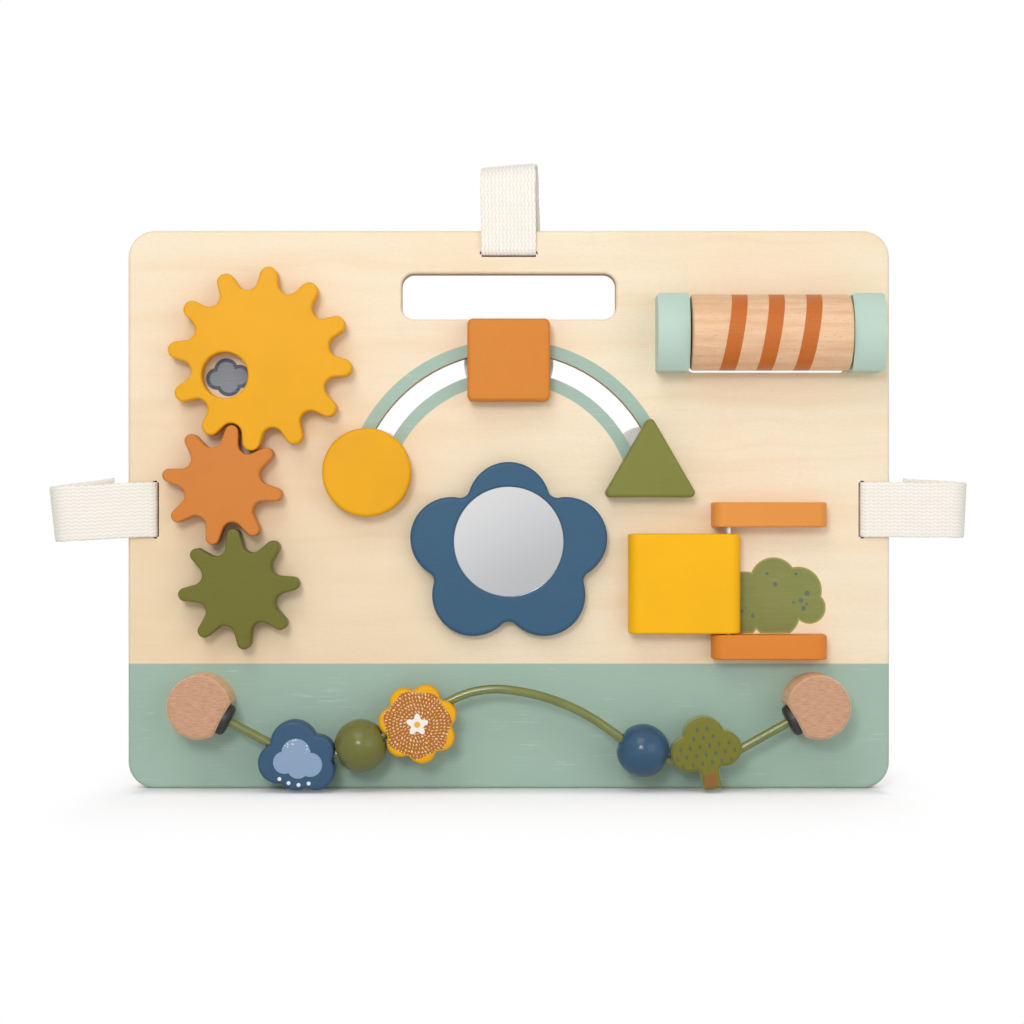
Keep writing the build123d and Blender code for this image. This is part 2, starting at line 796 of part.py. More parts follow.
def make_strap(plane, reach):
    fold = reach - strap_thickness / 2
    with BuildPart() as strap:
        with BuildSketch(plane):
            with BuildLine():
                FilletPolyline(
                    (strap_end(reach), -strap_face),
                    (0, -strap_face),
                    (0, strap_face),
                    (fold - fold_radius, strap_face),
                    radius=strap_bend,
                )
                CenterArc((fold - fold_radius, strap_face - fold_radius), fold_radius, 90, -180)
                Line(
                    (fold - fold_radius, -strap_return),
                    (strap_end(reach) - strap_overlap, -strap_return),
                )
            trace(line_width=strap_thickness)
        extrude(amount=strap_width / 2, both=True)
    return strap


def make_patch(plane, reach):
    outer_end = strap_end(reach) - patch_margin
    inner_end = strap_end(reach) - strap_overlap + patch_margin
    with BuildPart() as patch:
        with BuildSketch(plane):
            with Locations(((outer_end + inner_end) / 2, -(strap_face + strap_return) / 2)):
                Rectangle(outer_end - inner_end, strap_return - strap_face - strap_thickness)
        extrude(amount=patch_width / 2, both=True)
    return patch


straps = [
    ("strap_top", strap_plane(0, top_strap_slot_z, (0, 0, 1)), top_strap_reach),
    ("strap_left", strap_plane(-side_strap_slot_x, side_strap_slot_z, (-1, 0, 0)), side_strap_reach),
    ("strap_right", strap_plane(side_strap_slot_x, side_strap_slot_z, (1, 0, 0)), side_strap_reach),
]


# Every piece to its own file
os.makedirs("parts", exist_ok=True)
finish(board_panel, "board_panel")

gears = [
    ("large_gear", large_gear, large_gear_spot),
    ("middle_gear", middle_gear, middle_gear_spot),
    ("lower_gear", lower_gear, lower_gear_spot),
]
for name, gear, spot in gears:
    finish(gear, name)
    finish(make_gear_axle(spot), f"{name}_axle")
    finish(make_washer(spot), f"{name}_washer")
    finish(make_screw(spot, gear_screw_seat, gear_screw_grip), f"{name}_screw")

knobs = [
    ("circle_knob", circle_knob, circle_knob_spot),
    ("square_knob", square_knob, square_knob_spot),
    ("triangle_knob", triangle_knob, triangle_knob_spot),
]
for name, knob, spot in knobs:
    finish(knob, name)
    finish(make_neck(spot), f"{name}_neck")
    finish(make_slider_disc(spot), f"{name}_disc")
    finish(make_screw(spot, slider_screw_seat, slider_screw_grip), f"{name}_screw")

finish(roller, "roller")
finish(roller_axle, "roller_axle")
finish(make_roller_block(-1), "roller_block_left")
finish(make_roller_block(1), "roller_block_right")
finish(roller_block_screws, "roller_block_screws")

finish(door, "door")
finish(hinge_pin, "hinge_pin")
finish(make_door_bar(upper_bar_bottom_z, upper_seat, hinge_pin_seat), "door_bar_upper")
finish(make_door_bar(lower_bar_bottom_z, lower_seat, -hinge_pin_seat), "door_bar_lower")
finish(door_bar_screws, "door_bar_screws")

finish(mirror_frame, "mirror_frame")
finish(mirror_disc, "mirror_disc")
finish(mirror_frame_screws, "mirror_frame_screws")

finish(make_post(post_spots[0], left_wire_heading), "post_left")
finish(make_post(post_spots[1], right_wire_heading), "post_right")
finish(make_grommet(post_spots[0], left_wire_heading), "grommet_left")
finish(make_grommet(post_spots[1], right_wire_heading), "grommet_right")
finish(post_screws, "post_screws")
finish(bead_wire, "bead_wire")
finish(cloud_bead, "cloud_bead")
finish(make_ball(green_ball_run), "green_ball")
finish(flower_bead, "flower_bead")
finish(make_ball(blue_ball_run), "blue_ball")
finish(tree_bead, "tree_bead")

for name, plane, reach in straps:
    finish(make_strap(plane, reach), name)
    finish(make_patch(plane, reach), f"{name}_patch")
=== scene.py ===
import math

import bpy
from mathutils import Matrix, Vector


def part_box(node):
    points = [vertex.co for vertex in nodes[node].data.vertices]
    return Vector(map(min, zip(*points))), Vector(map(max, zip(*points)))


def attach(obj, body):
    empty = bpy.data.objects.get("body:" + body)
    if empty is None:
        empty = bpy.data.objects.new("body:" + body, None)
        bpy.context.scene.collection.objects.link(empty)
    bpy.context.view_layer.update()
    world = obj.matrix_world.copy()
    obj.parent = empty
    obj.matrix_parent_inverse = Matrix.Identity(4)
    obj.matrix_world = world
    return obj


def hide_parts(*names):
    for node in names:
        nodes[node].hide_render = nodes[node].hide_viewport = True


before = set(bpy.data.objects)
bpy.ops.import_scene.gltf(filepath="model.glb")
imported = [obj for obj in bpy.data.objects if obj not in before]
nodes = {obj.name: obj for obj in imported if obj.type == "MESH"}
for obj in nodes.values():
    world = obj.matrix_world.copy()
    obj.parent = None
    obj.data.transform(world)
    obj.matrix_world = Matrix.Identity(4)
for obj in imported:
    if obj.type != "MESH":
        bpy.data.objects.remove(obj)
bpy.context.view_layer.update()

mm = 0.001
print("frame loaded:", len(nodes), "nodes")


def paint(red, green, blue):  # a colour given as 0 to 255, in the renderer's linear values
    shown = [value / 255 for value in (red, green, blue)]
    linear = [((v + 0.055) / 1.055) ** 2.4 if v > 0.04045 else v / 12.92 for v in shown]
    return (*linear, 1.0)


class Field:  # a shader socket that can be added, multiplied and compared like a number
    def __init__(self, finish, socket):
        self.finish = finish
        self.socket = socket

    def sums(self, operation, *others):
        return self.finish.node("ShaderNodeMath", {"operation": operation}, [self, *others])

    def __add__(self, other):
        return self.sums("ADD", other)

    def __sub__(self, other):
        return self.sums("SUBTRACT", other)

    def __mul__(self, other):
        return self.sums("MULTIPLY", other)

    def __truediv__(self, other):
        return self.sums("DIVIDE", other)

    def __rsub__(self, other):
        return self.finish.node("ShaderNodeMath", {"operation": "SUBTRACT"}, [other, self])

    __radd__ = __add__
    __rmul__ = __mul__

    def least(self, other):
        return self.sums("MINIMUM", other)

    def most(self, other):
        return self.sums("MAXIMUM", other)

    def size(self):
        return self.sums("ABSOLUTE")

    def sine(self):
        return self.sums("SINE")

    def root(self):
        return self.sums("SQRT")

    def wrap(self, span):  # folds a growing value back to 0 to span
        return self.sums("FLOORED_MODULO", span)

    def rise(self, start, end):  # 0 below start, 1 above end, smooth between
        settings = {"interpolation_type": "SMOOTHSTEP", "clamp": True}
        values = {"Value": self, "From Min": start, "From Max": end}
        return self.finish.node("ShaderNodeMapRange", settings, values)


class Finish:  # one material, with helpers that add its nodes
    def __init__(self, name, **sockets):
        self.material = bpy.data.materials.new(name)
        self.material.use_nodes = True
        self.tree = self.material.node_tree
        self.shader = self.tree.nodes["Principled BSDF"]
        for socket, value in sockets.items():
            self.shader.inputs[socket.replace("_", " ")].default_value = value
        self.place = self.node("ShaderNodeTexCoord", output="Object")
        self.x, self.y, self.z = [self.split(self.place, axis) * (1 / mm) for axis in "XYZ"]

    def node(self, kind, settings=None, values=(), output=0):
        made = self.tree.nodes.new(kind)
        for name, setting in (settings or {}).items():
            setattr(made, name, setting)
        pairs = values.items() if isinstance(values, dict) else enumerate(values)
        for key, value in pairs:
            if isinstance(value, Field):
                self.tree.links.new(value.socket, made.inputs[key])
            else:
                made.inputs[key].default_value = value
        return Field(self, made.outputs[output])

    def split(self, vector, axis):
        return self.node("ShaderNodeSeparateXYZ", None, [vector], output=axis)

    def point(self, x, y, z):
        return self.node("ShaderNodeCombineXYZ", None, [x, y, z])

    def here(self):  # the place on the object, in millimetres
        return self.point(self.x, self.y, self.z)

    def mix(self, share, first, second):
        values = {0: share, 6: first, 7: second}
        return self.node("ShaderNodeMix", {"data_type": "RGBA"}, values, output=2)

    def noise(self, where, scale=1.0, detail=2.0, roughness=0.5, distortion=0.0):
        values = {"Vector": where, "Scale": scale, "Detail": detail,
                  "Roughness": roughness, "Distortion": distortion}
        return self.node("ShaderNodeTexNoise", None, values)

    def cells(self, where, scale=1.0, output="Distance"):
        values = {"Vector": where, "Scale": scale}
        return self.node("ShaderNodeTexVoronoi", None, values, output=output)

    def feed(self, socket, value):
        self.tree.links.new(value.socket, self.shader.inputs[socket])

    def bump(self, height, distance, strength=1.0):  # distance in millimetres
        values = {"Height": height, "Distance": distance * mm, "Strength": strength}
        self.feed("Normal", self.node("ShaderNodeBump", None, values))

    def circle(self, across, up, middle, radius):  # below zero inside the circle
        overAcross = across - middle[0]
        overUp = up - middle[1]
        return (overAcross * overAcross + overUp * overUp).root() - radius

    def cloud(self, across, up, circles):  # several circles joined
        shape = None
        for middleAcross, middleUp, radius in circles:
            one = self.circle(across, up, (middleAcross, middleUp), radius)
            shape = one if shape is None else shape.least(one)
        return shape

    def inside(self, shape, soft=0.25):  # 1 inside an outline and 0 outside, in millimetres
        return 1 - shape.rise(-soft, soft)


def grainPlace(finish, along, stretch):  # coordinates in millimetres, drawn out along the fibres
    scaled = {axis: getattr(finish, axis) * (1 / stretch if axis == along else 1) for axis in "xyz"}
    return finish.point(scaled["x"], scaled["y"], scaled["z"])


def giveFinish(finish, *names):  # a CAD node keeps its mesh and takes this finish
    for name in names:
        slots = nodes[name].data.materials
        slots.clear()
        slots.append(finish.material)


# board: birch veneer over plywood, with the mint band, the mint ring and two small prints

board = {
    "veneerLight": paint(241, 226, 200),
    "veneerMid": paint(237, 216, 183),
    "veneerDark": paint(229, 200, 158),
    "fibre": paint(205, 166, 122),
    "plyPale": paint(222, 188, 145),
    "plyBrown": paint(168, 122, 82),
    "glueLine": paint(120, 82, 54),
    "halfThickness": 6,
    "plies": 9,
    "faceDepth": 4.95,  # from here outwards the veneer shows and not the edge
    # painted shade: the veneer darker towards the lower left, where less light falls
    "paintedShadeAcross": (-190, 70),
    "paintedShadeUp": (130, 250),
    "paintedShadeShare": 0.6,
    "mint": paint(153, 179, 163),
    "mintWorn": paint(198, 212, 200),
    "wearShare": 0.62,
    "bandTop": 65.6,
    "ringMiddle": (0, 148.4),
    "ringRadius": 76,
    "ringHalfWidth": 11.5,
    "ringFoot": 162,
    "bush": [(92, 97, 14), (106, 106, 14), (124, 101, 13), (139, 109, 12.4), (152, 104, 12.5),
             (158, 95, 8.5), (118, 91, 14), (140, 92, 13)],
    "bushFoot": 81.5,
    "bushHem": 1.6,
    "barEnd": 104,  # the bush stands on the lower bar from here to the right
    "bushGreen": paint(121, 127, 58),
    "bushEdge": paint(150, 146, 66),
    "bushBerry": paint(82, 98, 84),
    "bushRim": 0.9,
    "berryInset": 3,
    "peek": [(-153.2, 215.2, 5.8), (-148.4, 219.6, 6.4), (-141.4, 216.4, 6.2), (-147, 212.6, 6.6)],
    "peekBlue": paint(66, 86, 112),
    "peekPale": paint(132, 144, 160),
    "peekRim": 1.9,
    "printEdge": 0.15,
    "maskEdge": 0.12,
}


def makeBoardFinish():
    finish = Finish("birchPlywoodBoard", Roughness=0.5)
    x, y, z = finish.x, finish.y, finish.z
    waver = finish.noise(finish.point(x * 0.012, y * 0.05, z * 0.03), 1, 2) * 22
    growth = finish.noise(finish.point(x * 0.004, y * 0.02, (z + waver) * 0.11), 1, 3, 0.55)
    cloudy = finish.noise(finish.point(x * 0.012, y * 0.02, z * 0.02), 1, 2)
    fine = finish.noise(finish.point(x * 0.06, y * 0.5, z * 2.4), 1, 3, 0.65)
    pores = finish.noise(finish.point(x * 0.22, y, z * 4.5), 1, 2, 0.6)
    tone = growth * 0.55 + cloudy * 0.45
    veneer = finish.mix(tone.rise(0.3, 0.72), board["veneerLight"], board["veneerMid"])
    veneer = finish.mix(growth.rise(0.5, 0.8) * 0.28, veneer, board["veneerDark"])
    veneer = finish.mix(fine.rise(0.5, 0.8) * 0.5, veneer, board["veneerDark"])
    veneer = finish.mix(pores.rise(0.6, 0.8) * 0.34, veneer, board["fibre"])
    grit = finish.noise(finish.point(x * 0.35, y, z * 1.5), 1, 2, 0.7)
    veneer = finish.mix(grit.rise(0.45, 0.72) * 0.3, veneer, board["veneerDark"])
    # painted shade: the veneer darker towards the left and lower down, where less light falls
    paintedShade = (1 - x.rise(*board["paintedShadeAcross"])) * (1 - z.rise(*board["paintedShadeUp"]) * 0.75)
    veneer = finish.mix(paintedShade * board["paintedShadeShare"], veneer, board["veneerDark"])

    layer = (y + board["halfThickness"]) / (2 * board["halfThickness"] / board["plies"])
    crossPly = (layer.wrap(2) - 1).rise(-0.06, 0.06)
    glue = 1 - ((layer.wrap(1) - 0.5).size() - 0.5).size().rise(0.02, 0.09)
    streak = finish.noise(finish.point(x * 0.6, y * 1.5, z * 0.6), 1, 3, 0.6)
    edgeWood = finish.mix(crossPly, board["plyPale"], board["plyBrown"])
    edgeWood = finish.mix(streak.rise(0.4, 0.75) * 0.45, edgeWood, board["plyBrown"])
    edgeWood = finish.mix(glue * 0.7, edgeWood, board["glueLine"])
    depth = board["faceDepth"]
    onEdge = 1 - y.size().rise(depth - 0.35, depth + 0.05)
    wood = finish.mix(onEdge, veneer, edgeWood)

    onFront = 1 - y.rise(-depth - 0.15, -depth + 0.05)
    band = finish.inside(z - board["bandTop"], board["maskEdge"])
    ring = finish.circle(x, z, board["ringMiddle"], board["ringRadius"]).size() - board["ringHalfWidth"]
    aboveFoot = z.rise(board["ringFoot"] - 0.2, board["ringFoot"] + 0.2)
    ringMask = finish.inside(ring, board["maskEdge"]) * aboveFoot
    worn = finish.noise(finish.point(x * 0.05, y, z * 0.9), 1, 4, 0.7)
    scuff = finish.noise(finish.point(x * 0.03, y, z * 0.05), 1, 2)
    wear = worn.rise(0.54, 0.72) * scuff.rise(0.47, 0.6)
    mint = finish.mix(fine.rise(0.45, 0.8) * 0.16, board["mint"], board["mintWorn"])
    mint = finish.mix(wear * board["wearShare"], mint, board["mintWorn"])
    mintMask = band.most(ringMask) * onFront
    colour = finish.mix(mintMask, wood, mint)

    foot = board["bushFoot"] + board["bushHem"] * (1 - x.rise(board["barEnd"] - 1, board["barEnd"] + 1))
    bush = finish.cloud(x, z, board["bush"]).most(foot - z)
    edge = board["printEdge"]
    bushMask = finish.inside(bush, edge) * onFront
    leafy = finish.inside(bush + board["bushRim"], edge)
    dots = finish.cells(finish.point(x * 0.16, 0.0, z * 0.16))
    berries = finish.inside((dots - 0.21) * 6, 0.12) * finish.inside(bush + board["berryInset"], edge)
    bushColour = finish.mix(leafy, board["bushEdge"], board["bushGreen"])
    bushColour = finish.mix(berries, bushColour, board["bushBerry"])
    bushColour = finish.mix(fine.rise(0.5, 0.8) * 0.15, bushColour, board["veneerMid"])
    colour = finish.mix(bushMask, colour, bushColour)

    peek = finish.cloud(x, z, board["peek"])
    peekMask = finish.inside(peek, edge) * onFront
    peekInner = finish.inside(peek + board["peekRim"], edge)
    peekColour = finish.mix(peekInner, board["peekBlue"], board["peekPale"])
    peekColour = finish.mix(fine.rise(0.5, 0.75) * 0.3, peekColour, board["veneerMid"])
    colour = finish.mix(peekMask, colour, peekColour)

    finish.feed("Base Color", colour)
    finish.feed("Roughness", 0.5 - mintMask * 0.1 + fine * 0.12 + onEdge * 0.2)
    finish.bump(fine * 0.6 + pores * 0.4 + onEdge * crossPly * 0.6 + mintMask * 0.5, 0.05)
    return finish


giveFinish(makeBoardFinish(), "board_panel")
print("board finished")


# painted pieces: a satin coat over wood, with the fibres just showing through

paints = {  # colour, the way the fibres run, and the pieces
    "gearYellow": ((232, 165, 6), "z", ["large_gear"]),
    "knobYellow": ((231, 165, 8), "x", ["circle_knob"]),
    "doorYellow": ((245, 181, 8), "x", ["door"]),
    "gearOrange": ((207, 125, 50), "x", ["middle_gear"]),
    "knobOrange": ((212, 128, 46), "z", ["square_knob"]),
    "upperBarOrange": ((226, 146, 66), "x", ["door_bar_upper"]),
    "lowerBarOrange": ((219, 131, 49), "x", ["door_bar_lower"]),
    "gearGreen": ((110, 108, 42), "x", ["lower_gear"]),
    "knobGreen": ((124, 126, 58), "x", ["triangle_knob"]),
    "mirrorBlue": ((55, 91, 119), "x", ["mirror_frame"]),
    "blockMint": ((185, 208, 194), "x", ["roller_block_left", "roller_block_right"]),
}

paintCoat = {
    "roughness": 0.42,
    "grainDepth": 0.055,
    "mottle": 0.10,
    "lift": 0.22,
    "coat": 0.07,
    "specular": 0.15,
    "coatRoughness": 0.28,
    "paler": 0.16,
    "deeper": 0.93,
}


def coatWithPaint(finish, colour, along, coat=paintCoat):
    base = paint(*colour)
    paler = paint(*[v + coat["paler"] * (255 - v) for v in colour])
    deeper = paint(*[v * coat["deeper"] for v in colour])
    fibres = finish.noise(grainPlace(finish, along, 14), 1.6, 3, 0.6)
    broad = finish.noise(finish.here(), 0.035, 2)
    specks = finish.noise(grainPlace(finish, along, 3), 1.1, 2, 0.7)
    shade = finish.mix(broad.rise(0.35, 0.7) * 0.25, base, deeper)
    shade = finish.mix(fibres.rise(0.52, 0.8) * coat["lift"], shade, paler)
    shade = finish.mix(specks.rise(0.72, 0.8) * coat["mottle"], shade, paler)
    finish.feed("Base Color", shade)
    uneven = fibres * 0.12 + specks.rise(0.66, 0.8) * 0.1 - broad * 0.06
    finish.feed("Roughness", uneven + coat["roughness"])
    finish.bump(fibres + specks * 0.3, coat["grainDepth"])
    sockets = {"Specular IOR Level": "specular", "Coat Weight": "coat", "Coat Roughness": "coatRoughness"}
    for socket, fact in sockets.items():
        finish.shader.inputs[socket].default_value = coat[fact]
    return shade


for name, (colour, along, users) in paints.items():
    painted = Finish(name)
    coatWithPaint(painted, colour, along)
    giveFinish(painted, *users)
print("painted pieces finished")


# balls: the same paint as a glossier dip coat

ballCoat = dict(paintCoat, roughness=0.34, coat=0.4, coatRoughness=0.16, grainDepth=0.02)

for name, colour in [("green_ball", (108, 110, 50)), ("blue_ball", (46, 82, 110))]:
    dipped = Finish(name + "Coat")
    coatWithPaint(dipped, colour, "x", ballCoat)
    giveFinish(dipped, name)


# flat beads: painted rims, and generic prints on the front face

beads = {
    "frontDepth": -29.2,
    "printEdge": 0.12,
    "flower": {
        "rim": (234, 169, 16),
        "field": paint(176, 106, 28),
        "fleck": paint(244, 226, 196),
        "heart": paint(240, 236, 228),
        "heartDot": paint(236, 176, 60),
        "petals": 7,
        "fieldRadius": 17.2,
        "fieldWave": 0.8,
        "heartRadius": 4.6,
        "dotRadius": 1.6,
        "fleckRow": 1.9,
        "fleckPitch": 1.62,
        "fleckLength": 0.98,
        "fleckWidth": 0.44,
    },
    "cloud": {
        "blue": (58, 88, 116),
        "pale": paint(139, 162, 190),
        "drop": paint(226, 232, 236),
        "middle": (-108.4, 19.3),
        "lie": (0.984, -0.177),
        "cloud": [(-6.4, -4.2, 5.8), (-1.4, 1.6, 7.4), (6.8, -3.0, 6.2), (1.0, -5.6, 5.6)],
        "drops": [(-7.4, -13.0, 1.0), (-2.4, -14.2, 1.0), (2.8, -14.2, 1.0), (7.8, -12.6, 1.0)],
        "speckPitch": 0.62,
        "speckFoot": 2.6,
    },
    "tree": {
        "green": (120, 118, 44),
        # painted light: the bead's sides paler than its front
        "sidePaintedLight": paint(160, 176, 130),
        "leaf": paint(92, 100, 80),
        "trunk": paint(140, 100, 56),
        "middle": (101.9, 18.6),
        "lie": (0.9865, 0.1613),
        "leafPitch": (5.0, 4.4),
        "canopy": [(-9.3, 1.5, 6.4), (9.3, 1.5, 6.4), (0, 8.5, 8.2), (0, 0, 6.5)],
        "trunkHalf": 3.7,
        "trunkTop": -8.2,
        "trunkFoot": -17.2,
    },
}


def beadPlane(finish, facts):  # places across and up in a hanging bead's own plane, in millimetres
    overX = finish.x - facts["middle"][0]
    overZ = finish.z - facts["middle"][1]
    leanX, leanZ = facts["lie"]
    return overX * leanX + overZ * leanZ, overZ * leanX - overX * leanZ


def onBeadFront(finish):
    return 1 - finish.y.rise(beads["frontDepth"] - 0.15, beads["frontDepth"] + 0.1)


def pieceMiddle(name):
    low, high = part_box(name)
    return [(a + b) / 2 / mm for a, b in zip(low, high)]


def makeFlowerFinish():
    facts = beads["flower"]
    finish = Finish("flowerBeadPrint")
    coat = coatWithPaint(finish, facts["rim"], "x")
    middleX, _, middleZ = pieceMiddle("flower_bead")
    overX = finish.x - middleX
    overZ = finish.z - middleZ
    reach = (overX * overX + overZ * overZ).root()
    turn = finish.node("ShaderNodeMath", {"operation": "ARCTAN2"}, [overZ, overX])
    wave = (turn * facts["petals"] + 0.6).sine() * facts["fieldWave"]
    onFront = onBeadFront(finish)
    tooth = finish.noise(finish.point(overX * 1.6, 0.0, overZ * 1.6), 1, 1) * 0.9 - 0.45
    field = finish.inside(reach - facts["fieldRadius"] - wave + tooth, beads["printEdge"])
    stray = finish.noise(finish.point(overX * 0.9, 0.0, overZ * 0.9), 1, 2, 0.6) - 0.5
    strayed = reach + stray * 2.2  # the flecks lie in rings that wander a little
    across = strayed.wrap(facts["fleckRow"])
    row = (strayed - across) / facts["fleckRow"]
    around = ((turn / math.tau + 0.5) * (row * 7 + 3) + (row * 5.77).sine() * 7 + stray * 1.6).wrap(1)
    fleck = ((around - 0.5).size() * facts["fleckPitch"] - facts["fleckWidth"] / 2).most(
        (across - facts["fleckRow"] / 2).size() - facts["fleckLength"] / 2)
    flecks = finish.inside(fleck, 0.14)
    heart = finish.inside(reach - facts["heartRadius"] - (turn * 5).sine() * 1.2, beads["printEdge"])
    dot = finish.inside(reach - facts["dotRadius"], beads["printEdge"])
    printed = finish.mix(flecks * 0.9, facts["field"], facts["fleck"])
    printed = finish.mix(heart, printed, facts["heart"])
    printed = finish.mix(dot, printed, facts["heartDot"])
    finish.feed("Base Color", finish.mix(field * onFront, coat, printed))
    return finish


def makeCloudFinish():
    facts = beads["cloud"]
    finish = Finish("cloudBeadPrint")
    coat = coatWithPaint(finish, facts["blue"], "x")
    overX, overZ = beadPlane(finish, facts)
    onFront = onBeadFront(finish)
    inner = finish.cloud(overX, overZ, facts["cloud"])
    rain = finish.cloud(overX, overZ, facts["drops"])
    spots = finish.cells(finish.point(overX * facts["speckPitch"], 0.0, overZ * facts["speckPitch"]))
    flecks = (1 - spots.rise(0.2, 0.3)) * finish.inside(facts["speckFoot"] - overZ, 0.8)
    printed = finish.mix(flecks * 0.8, facts["pale"], facts["drop"])
    colour = finish.mix(finish.inside(inner, beads["printEdge"]) * onFront, coat, printed)
    colour = finish.mix(finish.inside(rain, beads["printEdge"]) * onFront, colour, facts["drop"])
    finish.feed("Base Color", colour)
    return finish


def makeTreeFinish():
    facts = beads["tree"]
    finish = Finish("treeBeadPrint")
    coat = coatWithPaint(finish, facts["green"], "x")
    overX, overZ = beadPlane(finish, facts)
    onFront = onBeadFront(finish)
    onSide = finish.y.rise(beads["frontDepth"] + 0.2, beads["frontDepth"] + 1.0)
    pitchX, pitchZ = facts["leafPitch"]
    rows = (overZ + 40) / pitchZ  # counted from well below the bead
    row = rows.sums("FLOOR")
    across = (overX / pitchX + row * 0.5).wrap(1) - 0.5
    down = rows.wrap(1) - 0.5
    leafShape = (across * across * 2.4 + down * down).root() + across.size() * 0.3 - 0.29
    canopy = finish.cloud(overX, overZ, facts["canopy"])
    leaves = finish.inside(leafShape * 4, beads["printEdge"]) * finish.inside(canopy, 0.2) * onFront
    trunk = (overX.size() - facts["trunkHalf"]).most(overZ - facts["trunkTop"])
    trunk = finish.inside(trunk.most(facts["trunkFoot"] - overZ), beads["printEdge"]) * onFront
    # painted light: the bead's sides paler than its front
    colour = finish.mix(onSide * 0.75, coat, facts["sidePaintedLight"])
    colour = finish.mix(leaves, colour, facts["leaf"])
    colour = finish.mix(trunk, colour, facts["trunk"])
    finish.feed("Base Color", colour)
    return finish


giveFinish(makeFlowerFinish(), "flower_bead")
giveFinish(makeCloudFinish(), "cloud_bead")
giveFinish(makeTreeFinish(), "tree_bead")
print("beads finished")


# bare beech: the roller with its painted stripes, the two posts, axles and necks

beech = {
    "light": paint(235, 196, 157),
    "mid": paint(222, 178, 136),
    "fleck": paint(196, 146, 108),
    "endLight": paint(202, 157, 125),
    "endDark": paint(173, 124, 93),
    "stripe": paint(190, 94, 0),
    "stripeWorn": paint(202, 110, 8),
    "stripeMiddles": [116.0, 135.1, 154.4],
    "stripeWidth": 8.2,
    "stripeSlant": 0.155,
    "stripeTurn": 0.02,
    "rollerZ": 238.4,
    "rollerY": -13,
    "postEnd": -32.6,
}


def beechColour(finish, along):
    broad = finish.noise(grainPlace(finish, along, 10), 0.3, 3, 0.55)
    fibres = finish.noise(grainPlace(finish, along, 22), 2.6, 3, 0.6)
    flecks = finish.noise(grainPlace(finish, along, 5), 2.2, 1, 0.5)
    wood = finish.mix(broad.rise(0.3, 0.7), beech["light"], beech["mid"])
    wood = finish.mix(fibres.rise(0.5, 0.8) * 0.5, wood, beech["fleck"])
    wood = finish.mix(flecks.rise(0.62, 0.72) * 0.45, wood, beech["fleck"])
    return wood, fibres, flecks


def makeRollerFinish():
    finish = Finish("stripedRoller", Coat_Weight=0.22, Coat_Roughness=0.12, Specular_IOR_Level=0.3)
    wood, fibres, flecks = beechColour(finish, "x")
    slanted = finish.x - (finish.z - beech["rollerZ"]) * beech["stripeSlant"]
    slanted = slanted + (finish.y - beech["rollerY"]) * beech["stripeTurn"]
    ragged = fibres * 0.5 - 0.25
    stripes = None
    for middle in beech["stripeMiddles"]:
        one = finish.inside((slanted - middle).size() - beech["stripeWidth"] / 2 + ragged, 0.1)
        stripes = one if stripes is None else stripes.most(one)
    ink = finish.mix(fibres.rise(0.4, 0.75) * 0.55, beech["stripe"], beech["stripeWorn"])
    covered = stripes * (0.97 - flecks.rise(0.66, 0.76) * 0.25)  # flecks show through the ink
    finish.feed("Base Color", finish.mix(covered, wood, ink))
    finish.feed("Roughness", 0.46 + fibres * 0.16 - stripes * 0.08)
    finish.bump(fibres - flecks.rise(0.62, 0.72) * 0.6 + stripes * 0.3, 0.06)
    return finish


def makeBeechFinish(name, along):
    finish = Finish(name)
    wood, fibres, flecks = beechColour(finish, along)
    finish.feed("Base Color", wood)
    finish.feed("Roughness", 0.52 + fibres * 0.16)
    finish.bump(fibres - flecks.rise(0.62, 0.72) * 0.6, 0.06)
    return finish


def makePostFinish():
    finish = Finish("beechPost")
    side, fibres, flecks = beechColour(finish, "y")
    rays = finish.noise(finish.point(finish.x * 0.24, finish.y, finish.z * 1.75), 1, 3, 0.65)
    cross = finish.noise(finish.point(finish.x * 1.9, finish.y, finish.z * 0.5), 1, 2, 0.6)
    end = finish.mix(rays.rise(0.35, 0.7) * 0.8, beech["endLight"], beech["endDark"])
    end = finish.mix(cross.rise(0.5, 0.72) * 0.5, end, beech["endLight"])
    onEnd = 1 - finish.y.rise(beech["postEnd"], beech["postEnd"] + 0.4)
    finish.feed("Base Color", finish.mix(onEnd, side, end))
    finish.feed("Roughness", 0.58 + rays * 0.14)
    finish.bump(rays * onEnd + fibres * (1 - onEnd), 0.06)
    return finish


giveFinish(makeRollerFinish(), "roller")
giveFinish(makePostFinish(), "post_left", "post_right")
dowelNames = [name for name in nodes if name.endswith(("_gear_axle", "_neck"))]
giveFinish(makeBeechFinish("beechTurned", "y"), *dowelNames)
print("bare beech finished")


# metal, mirror, plastic and the coated wire

hardware = {
    "steel": paint(190, 190, 188),
    "steelDark": paint(120, 120, 120),
    # the mirror's colour, with a painted reflection that grows darker towards the lower right
    "mirror": paint(222, 222, 223),
    "mirrorShade": paint(186, 187, 189),
    "wire": paint(110, 118, 44),
    "wireDeep": paint(94, 102, 34),
    "grommet": paint(34, 34, 36),
    "grommetWorn": paint(58, 58, 62),
    "disc": paint(250, 250, 252),
    "discHaze": paint(238, 239, 243),
}


def makeSteelFinish():
    finish = Finish("brightSteel", Metallic=1.0)
    brushed = finish.noise(finish.point(finish.x * 3, finish.y * 0.7, finish.z * 9), 1, 3, 0.6)
    tarnish = finish.noise(finish.here(), 0.7, 2)
    shade = finish.mix(tarnish.rise(0.45, 0.8) * 0.4, hardware["steel"], hardware["steelDark"])
    finish.feed("Base Color", shade)
    finish.feed("Roughness", 0.2 + brushed * 0.16 + tarnish.rise(0.5, 0.8) * 0.1)
    finish.bump(brushed, 0.006)
    return finish


